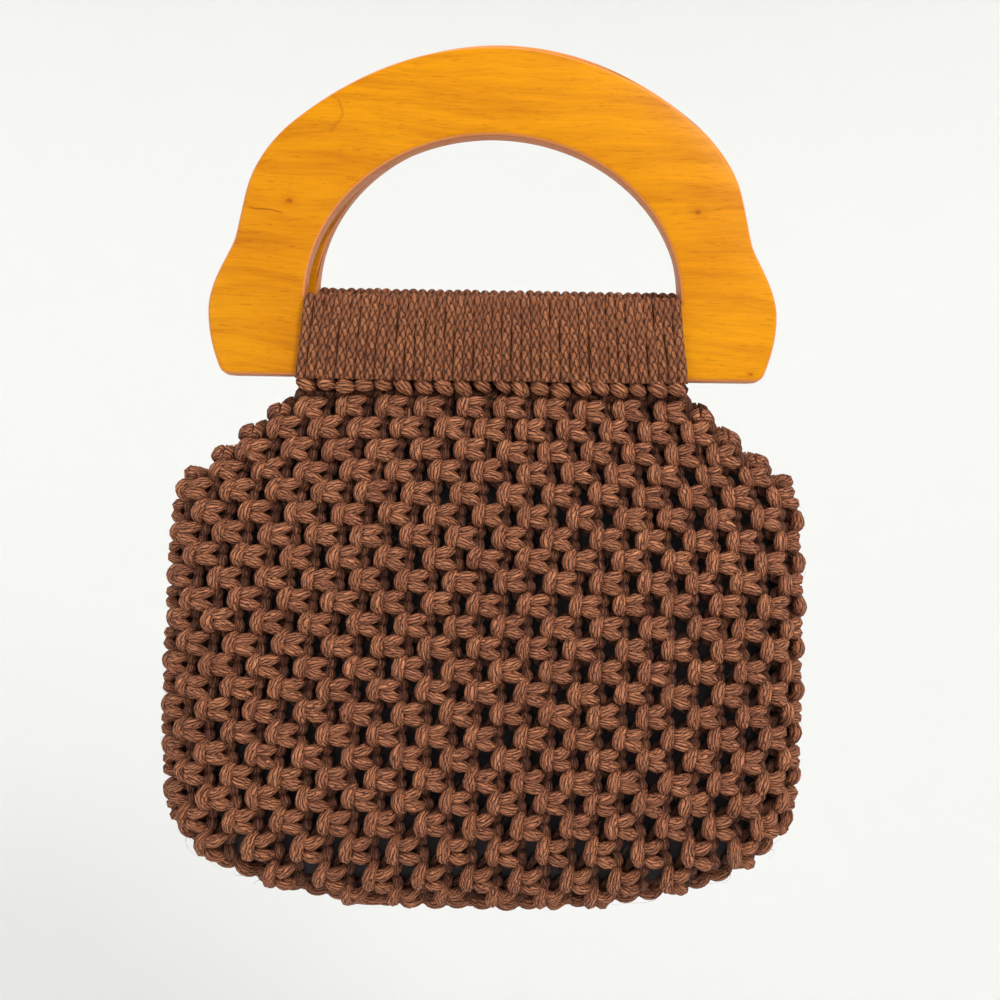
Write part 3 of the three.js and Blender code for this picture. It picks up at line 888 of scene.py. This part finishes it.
# A pair of new cords at a strip's edge is one cord folded over in a fat arch. A cord of the first row comes
# out of its hitch.
LOOP = {
    "left": [(-5.4, 8.6, 1.6, 3.7), (-8.4, 7.8, 1.2, 3.4), (-9.2, 5.9, -0.4, 2.5)],
    "left_core": [(-5.4, 8.6, 1.6, 3.7), (-2.6, 7.9, 1.0, 3.4), (-1.9, 6.0, 0.2, 2.5)],
    "right": [(5.4, 8.6, 1.6, 3.7), (8.4, 7.8, 1.2, 3.4), (9.2, 5.9, -0.4, 2.5)],
    "right_core": [(5.4, 8.6, 1.6, 3.7), (2.6, 7.9, 1.0, 3.4), (1.9, 6.0, 0.2, 2.5)],
}
FROM_HITCH = {
    "left": [(-6.8, 8.0, 0.6, 2.5)], "left_core": [(-2.4, 8.0, 1.0, 2.5)],
    "right": [(7.2, 8.0, 0.6, 2.5)], "right_core": [(2.4, 8.0, 1.0, 2.5)],
}
# A cord ends tucked in behind its last knot.
TUCK = {
    "left": [(-7.4, -6.2, -2.8, 1.8), (-6.6, -8.0, -6.0, 1.5)],
    "left_core": [(-1.9, -6.2, -2.4, 1.8), (-1.9, -7.6, -6.0, 1.5)],
    "right": [(7.6, -6.2, -2.0, 1.8), (6.8, -8.0, -6.0, 1.5)],
    "right_core": [(1.9, -6.2, -2.4, 1.8), (1.9, -7.6, -6.0, 1.5)],
}
QUARTERS = ("back_left", "front_left", "front_right", "back_right")
KNOT_SPACING = 22.6  # millimetres between neighbouring knots where they have their drawn width
RING_SHARE = 0.485  # how far from a face's middle the bottom rows have knots, as a share of HALF_RING
ROW_STEP = 10.45


def row_heights(rows):
    """Heights of the rows on the front's middle line: evenly spaced, and stretched in the last four."""
    first_row = -131.5
    even = first_row - ROW_STEP * np.arange(rows)
    stretch = np.array([0.3, 2.9, 7.4, 7.0])
    even[-4:] -= stretch
    return even


class KnotField:
    """Where each knot of the net sits, and which knots there are."""

    def __init__(self, net):
        self.form = NetForm()
        self.rows = net.rows
        self.first = net.knots_across
        self.drop = self.form.drop_at(row_heights(net.rows))
        self.pitch = np.gradient(self.drop)
        self.spacing = self.form.spacing_at(self.drop)
        rng = np.random.default_rng(net.seed)
        shape = (2 * HALF_RING, net.rows)
        self.stray = rng.normal(0, 0.5 * net.unevenness, (*shape, 3)) * np.array([1.0, 0.7, 0.7])
        self.turn = rng.normal(0, math.radians(3.6) * net.unevenness, shape)
        self.size = 1 + rng.normal(0, 0.045 * net.unevenness, (*shape, 2))

    def holds(self, column, row):
        """Whether there's a knot.

        Each strip gains one knot a row until the two join into a ring, and at the bottom the knots past the
        side seam are left out."""
        folded = abs((column + HALF_RING) % (2 * HALF_RING) - HALF_RING)
        from_middle = min(folded, HALF_RING - folded)
        if row < 4:
            return from_middle <= self.first - 1 + row
        fold = self.form.fold_at(self.drop[row])
        return fold <= 1.02 or from_middle * fold <= RING_SHARE * HALF_RING

    def way(self, column, row, points):
        """Cord points of one knot, in half columns round, millimetres down and out, and radius.

        The knot is turned, sized and strayed by its own small amounts."""
        index = (column % (2 * HALF_RING), row)
        turn = self.turn[index]
        right = points[:, 0] * math.cos(turn) - points[:, 1] * math.sin(turn)
        up = points[:, 0] * math.sin(turn) + points[:, 1] * math.cos(turn)
        closeness = (self.spacing[row] / KNOT_SPACING) ** 0.35
        inner = np.clip(1 - (np.abs(points[:, 1]) - 4.5) / 5.0, 0, 1)
        wide, tall = self.size[index]
        stray = self.stray[index] * inner[:, None]
        right = right * closeness * (1 + (wide - 1) * inner) + stray[:, 0]
        up = up * self.pitch[row] / ROW_STEP * (1 + (tall - 1) * inner) + stray[:, 1]
        out = points[:, 2] + stray[:, 2]
        round_bag = column + right / (self.spacing[row] / 2)
        return np.stack([round_bag, self.drop[row] - up, out, points[:, 3]], axis=1)

    def runs(self):
        """Every cord as its column and a list of (column of its knot, row, role), from first knot to last.

        A cord that works as the left cord of one knot is the right core of the knot down to the left, and
        then the left cord again two rows down. The other cords mirror that."""
        for worker, core, step in (("left", "right_core", -1), ("right", "left_core", 1)):
            for column in range(-HALF_RING, HALF_RING):
                run = []
                for row in range(self.rows):
                    works = (column + row) % 2 != 0
                    knot = column if works else column + step
                    if self.holds(knot, row):
                        run.append((knot, row, worker if works else core))
                    elif run:
                        break
                if run:
                    yield column, run

    def cord(self, run):
        """One cord's points and the stations to sample it at."""
        points, stations = [], []
        count = 0
        column, row, role = run[0]
        head = np.array(FROM_HITCH[role] if row == 0 else LOOP[role])
        points.append(self.way(column, row, head))
        stations += [n * 0.5 for n in range(2 * len(head))]
        count += len(head)
        for column, row, role in run:
            points.append(self.way(column, row, WAYS[role]))
            stations += [count + stop for stop in STOPS[role]]
            count += len(WAYS[role])
        column, row, role = run[-1]
        points.append(self.way(column, row, np.array(TUCK[role])))
        stations += [count, count + 0.5, count + 1]
        return np.concatenate(points), np.array(stations, float)


def net_cords(field, fullness, rng):
    """The tubes of all cords, keyed by the quarter of the bag that they hang in."""
    groups = {}
    for column, run in field.runs():
        quarter = QUARTERS[(column + HALF_RING) // (HALF_RING // 2)]
        points, stations = field.cord(run)
        groups.setdefault((quarter, len(points), tuple(stations)), []).append(points)
    quarters = {}
    for (quarter, _, stations), cords in groups.items():
        sampled = through(np.stack(cords), np.array(stations))
        paths = field.form.place(sampled[..., 0], sampled[..., 1], sampled[..., 2])
        swell = sampled[..., 3] * fullness * (1 + rng.normal(0, 0.03, sampled.shape[:2]))
        # Painted shade on cord that lies deep in the knots.
        recess_shade = np.clip((2.0 - sampled[..., 2]) / 3.4, 0, 1)
        batch = tubes(paths, swell, 7, None, rng.uniform(0, 40, len(cords)), recess_shade)
        quarters.setdefault(quarter, []).append(batch)
    return {quarter: joined(batches) for quarter, batches in quarters.items()}


# One bight of the cord that laces the bottom: along the edge, out from it, away from the middle, and radius.
SEAM_BIGHT = np.array(
    [
        (-6.4, -4.0, 0.4, 2.0), (-5.2, -0.6, 1.8, 2.6), (-2.9, 1.5, 3.0, 3.2), (0.0, 2.0, 3.5, 3.4),
        (2.9, 1.3, 3.0, 3.2), (5.1, -0.8, 1.6, 2.6), (6.2, -4.2, 0.0, 2.0),
    ]
)


def bottom_seam(field, fullness, rng):
    """The cord that laces front and back together along the bottom.

    Its bights lie along the outermost line of the net's form, one row towards the front and one towards the
    back, half a step apart."""
    form = field.form
    seam_top, bight_length = -336.0, 11.6
    edge = form.points[:, (form.points.shape[1] - 1) // 2]
    edge = edge[edge[:, 2] < seam_top][:, [0, 2]]
    line = np.concatenate([edge * np.array([-1.0, 1.0]), edge[::-1]])
    length = run_lengths(line)
    count = int(length[-1] // bight_length)
    step = length[-1] / count
    batches = []
    for face, start in ((-1.0, 0.25), (1.0, 0.75)):
        at = (np.arange(count) + start) * step + rng.normal(0, 0.4, count)
        points = np.broadcast_to(SEAM_BIGHT, (count, *SEAM_BIGHT.shape)).copy()
        points[..., 1:3] += rng.normal(0, 0.25, (count, 1, 2))
        sampled = through(points, np.linspace(0, len(SEAM_BIGHT) - 1, 15))
        spot = np.clip(at[:, None] + sampled[..., 0], 0, length[-1])
        x, z = np.interp(spot, length, line[:, 0]), np.interp(spot, length, line[:, 1])
        x = x + NET_LEAN * (z - NET_TOP)
        ahead = [np.interp(spot + 2, length, part) - np.interp(spot - 2, length, part) for part in line.T]
        run = unit(np.stack(ahead, axis=-1))
        out = sampled[..., 1]
        paths = np.stack([x + run[..., 1] * out, face * sampled[..., 2], z - run[..., 0] * out], axis=-1)
        # Painted shade on the whole seam, more where its bights dip in.
        recess_shade = 0.25 + np.clip(-sampled[..., 1] / 3.0, 0, 0.6)
        batches.append(tubes(paths, sampled[..., 3] * fullness, 9, None, rng.uniform(0, 40, count), recess_shade))
    return joined(batches)


def stray_fibres(form, rng):
    """Hairs that stand off the knots: each starts on the net, leans out and curls."""
    count, stations = 700, 6
    column = rng.uniform(-HALF_RING, HALF_RING, (count, 1))
    drop = rng.uniform(form.drop_at(-168.0), form.drop_at(-366.0), (count, 1))
    along = np.linspace(0, 1, stations)[None]
    reach = rng.uniform(3.0, 8.0, (count, 1))
    heading = rng.uniform(0, 2 * np.pi, (count, 1)) + along * rng.normal(0, 1.3, (count, 1))
    slope = rng.uniform(0.15, 0.9, (count, 1))
    out = 5.0 + reach * slope * (along - 0.35 * along**2)
    half_column = 11.2
    aside = reach * along * np.cos(heading) / half_column
    paths = form.place(column + aside, drop + reach * along * np.sin(heading), out)
    return tubes(paths, 0.085 * (1.15 - along), 3, None, rng.uniform(0, 40, count))


# This dark sheet inside the net is partly real cloth and partly painted shade that keeps the gaps between the
# knots dark.
def lining_and_shade(form):
    """The dark cloth bag inside the net.

    Front and back are each a grid of places across and heights down, held 7 mm inside the middle of the
    knots, and 4 mm near the bottom. The two share their side edges under the corners, and their bottom."""
    across, side_inset = 26, 6.0
    drop = np.linspace(form.drop_at(-128.0), form.drop[-1] - 1.5, 64)[:, None] + np.zeros(2 * across + 1)
    share = np.linspace(-1, 1, 2 * across + 1)[None]
    height = np.interp(drop, form.drop, form.height)
    inset = np.interp(height, (-352.0, -332.0), (4.0, 7.0))
    strip = np.interp(-height, -NET_SECTIONS[:, 0], NET_SECTIONS[:, 1]) - side_inset
    full = np.interp(drop, form.drop, form.quarter_length)
    above = height > CORNER_HEIGHT
    from_middle = np.where(above, np.minimum(strip / full, 1.0), 1.0) * share / 2
    front = form.read(from_middle, drop, -inset)
    back = form.read(np.where(share < 0, -1.0, 1.0) - from_middle, drop, -inset)
    front[..., 1] = np.minimum(front[..., 1], -0.5)
    back[..., 1] = np.maximum(back[..., 1], 0.5)
    front[-1, :, 1] = 0.0

    number = np.arange(2 * drop.size).reshape(2, *drop.shape)
    closed = ~above[:, 0]
    for edge in (0, -1):
        number[1, closed, edge] = number[0, closed, edge]
        front[closed, edge] = (front[closed, edge] + back[closed, edge]) / 2
    number[1, -1] = number[0, -1]
    corners = [number[:, :-1, :-1], number[:, 1:, :-1], number[:, 1:, 1:], number[:, :-1, 1:]]
    front_quads, back_quads = np.stack(corners, axis=-1).reshape(2, -1, 4)
    quads = np.concatenate([front_quads, back_quads[:, ::-1]])
    used, quads = np.unique(quads, return_inverse=True)
    return np.concatenate([front.reshape(-1, 3), back.reshape(-1, 3)])[used], quads.reshape(-1, 4)


# Operators


def dress(piece, material_slot, *nodes):
    """Hangs a piece on the root body, and hides the CAD nodes that it stands for."""
    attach(piece, "root")
    if nodes:
        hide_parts(*nodes)
    return piece


class BAG_OT_handles(bpy.types.Operator):
    """Build the two plywood handles"""

    bl_idname = "cord_bag.handles"
    bl_label = "Handles"

    def execute(self, context):
        handles = context.scene.bag_handles
        material = wood_material(handles)
        for side in ("front", "back"):
            points, quads, sawn = board(handles)
            points, values = hung(points, side), {"sawn_edge": sawn}
            piece = make_piece(f"board_{side}", points, quads, point_values=values, material=material)
            dress(piece, "handle_wood", f"handle_{side}")
        return {"FINISHED"}


class BAG_OT_bar_cords(bpy.types.Operator):
    """Lay the cords over the bars and tie the hitches under them"""

    bl_idname = "cord_bag.bar_cords"
    bl_label = "Bar cords and hitches"

    def execute(self, context):
        cords = context.scene.bag_cords
        rng = np.random.default_rng(5)
        # Painted light and shade: shade gives the cords over the bar a darker, warmer copy of the yarn, and
        # the hitches a slightly warmer one.
        straight = cord_material("bar_cord", cords, strands=5, pitch=0.62, shade=(0.66, 0.6, 0.49))
        hitched = cord_material("hitched_cord", cords, strands=11, pitch=0.7, shade=(1.0, 0.98, 0.92))
        for side in ("front", "back"):
            piece = tube_piece(f"bar_cords_{side}", bar_cords(cords, rng), straight, side)
            dress(piece, "brown_cord", f"cord_sleeve_{side}")
            piece = tube_piece(f"hitches_{side}", bar_hitches(cords, rng), hitched, side)
            dress(piece, "brown_cord", f"hitch_row_{side}")
        return {"FINISHED"}


class BAG_OT_net(bpy.types.Operator):
    """Knot the pouch"""

    bl_idname = "cord_bag.net"
    bl_label = "Knotted net"

    def execute(self, context):
        cords, net = context.scene.bag_cords, context.scene.bag_net
        field = KnotField(net)
        rng = np.random.default_rng(net.seed + 1)
        # Painted shade: shade gives the knotted cord a slightly darker copy of the yarn.
        material = cord_material("knotted_cord", cords, strands=12, pitch=0.7, shade=(0.97, 0.96, 0.96))
        for quarter, batch in net_cords(field, cords.fullness, rng).items():
            dress(tube_piece(f"net_{quarter}", batch, material), "brown_cord", "knotted_net")
        # A dark cloth sheet inside the net, its darkness partly painted shade for the gaps between the knots.
        points, quads = lining_and_shade(field.form)
        piece = make_piece("lining_and_shade", points, quads, material=lining_and_shade_material(cords))
        wall = piece.modifiers.new("cloth", "SOLIDIFY")
        wall.thickness, wall.offset = 0.8 * MM, -1.0
        dress(piece, "brown_cord")
        dress(tube_piece("bottom_seam", bottom_seam(field, cords.fullness, rng), material), "brown_cord")
        dress(tube_piece("stray_fibres", stray_fibres(field.form, rng), material), "brown_cord")
        return {"FINISHED"}


class BAG_OT_stage(bpy.types.Operator):
    """Set up the backdrop, the lights and the camera"""

    bl_idname = "cord_bag.stage"
    bl_label = "Stage"

    def execute(self, context):
        stage = context.scene.bag_stage
        context.scene.view_settings.view_transform = "Standard"
        self.backdrop(stage)
        self.lights(context)
        self.camera(context, stage)
        return {"FINISHED"}

    def backdrop(self, stage):
        """A bowl: a flat floor, a wide curve and a wall all round, turned about a plumb line."""
        radius, floor, curve = stage.backdrop_radius / MM, -760.0, 500.0
        bend = np.linspace(0, np.pi / 2, 14)
        reach = np.concatenate([[1.0], radius - curve + curve * np.sin(bend), [radius, radius]])
        height = np.concatenate([[floor], floor + curve * (1 - np.cos(bend)), [900.0, 1500.0]])
        turn = np.linspace(0, 2 * np.pi, 72, endpoint=False)
        reach, height = reach[:, None], height[:, None] * np.ones(len(turn))
        points = np.stack([reach * np.cos(turn), reach * np.sin(turn), height], axis=-1)
        number = np.arange(points.size // 3).reshape(points.shape[:2])
        after = np.roll(number, -1, axis=1)
        quads = np.stack([number[1:], after[1:], after[:-1], number[:-1]], axis=-1).reshape(-1, 4)
        middle = np.stack([np.full(len(turn), number.size), number[0], after[0]], axis=-1)
        points = np.concatenate([points.reshape(-1, 3), [[0.0, 0.0, floor]]])
        bowl = make_piece("backdrop", points, quads, middle, material=backdrop_material(stage))

    def lights(self, context):
        """A soft key from the upper right, a wide fill from the left, and a light from above."""
        lamps = (
            ("key", (0.5, -0.8, 0.5), (0.0, 0.0, -0.17), 0.4, 8.4, (1.0, 0.975, 0.94)),
            ("fill", (-0.9, -0.75, 0.1), (0.0, 0.0, -0.2), 0.9, 3.0, (0.93, 0.97, 1.0)),
            ("top", (0.1, -0.1, 1.0), (0.0, 0.0, -0.2), 0.8, 4.0, (1.0, 0.98, 0.96)),
        )
        for name, spot, aim, size, power, colour in lamps:
            data = bpy.data.lights.new(name, "AREA")
            data.shape, data.size, data.energy, data.color = "DISK", size, power, colour
            lamp = bpy.data.objects.new(name, data)
            away = np.array(aim) - np.array(spot)
            lamp.location = spot
            tilt = math.atan2(math.hypot(away[0], away[1]), -away[2])
            lamp.rotation_euler = (tilt, 0.0, math.atan2(away[1], away[0]) - math.pi / 2)
            context.scene.collection.objects.link(lamp)
        world = bpy.data.worlds.new("soft_room")
        world.use_nodes = True
        background = world.node_tree.nodes["Background"]
        background.inputs["Color"].default_value = (0.96, 0.98, 1.0, 1.0)
        background.inputs["Strength"].default_value = 0.55
        context.scene.world = world

    def camera(self, context, stage):
        data = bpy.data.cameras.new("camera")
        data.lens, data.sensor_width = 44.2, 36.0
        camera = bpy.data.objects.new("camera", data)
        camera.location = (0.005, -stage.camera_distance, -0.1757)
        camera.rotation_euler = (math.pi / 2, stage.camera_roll, 0.0)
        context.scene.collection.objects.link(camera)
        context.scene.camera = camera


class BAG_PT_panel(bpy.types.Panel):
    """Lists the bag's pieces and settings"""

    bl_label = "Cord bag"
    bl_idname = "BAG_PT_panel"
    bl_space_type = "VIEW_3D"
    bl_region_type = "UI"
    bl_category = "Cord bag"

    def draw(self, context):
        for group, operator in STEPS:
            box = self.layout.box()
            box.operator(operator)
            settings = getattr(context.scene, group)
            for name in settings.bl_rna.properties.keys():
                if name not in ("rna_type", "name"):
                    box.prop(settings, name)


STEPS = (
    ("bag_handles", "cord_bag.handles"),
    ("bag_cords", "cord_bag.bar_cords"),
    ("bag_net", "cord_bag.net"),
    ("bag_stage", "cord_bag.stage"),
)
GROUPS = {
    "bag_handles": HandleSettings,
    "bag_cords": CordSettings,
    "bag_net": NetSettings,
    "bag_stage": StageSettings,
}
CLASSES = (*GROUPS.values(), BAG_OT_handles, BAG_OT_bar_cords, BAG_OT_net, BAG_OT_stage, BAG_PT_panel)


def register():
    for cls in CLASSES:
        bpy.utils.register_class(cls)
    for name, group in GROUPS.items():
        setattr(bpy.types.Scene, name, bpy.props.PointerProperty(type=group))


def unregister():
    for name in GROUPS:
        delattr(bpy.types.Scene, name)
    for cls in reversed(CLASSES):
        bpy.utils.unregister_class(cls)


def main():
    register()
    bpy.ops.cord_bag.handles()
    bpy.ops.cord_bag.bar_cords()
    bpy.ops.cord_bag.net()
    bpy.ops.cord_bag.stage()


if __name__ == "__main__":
    main()
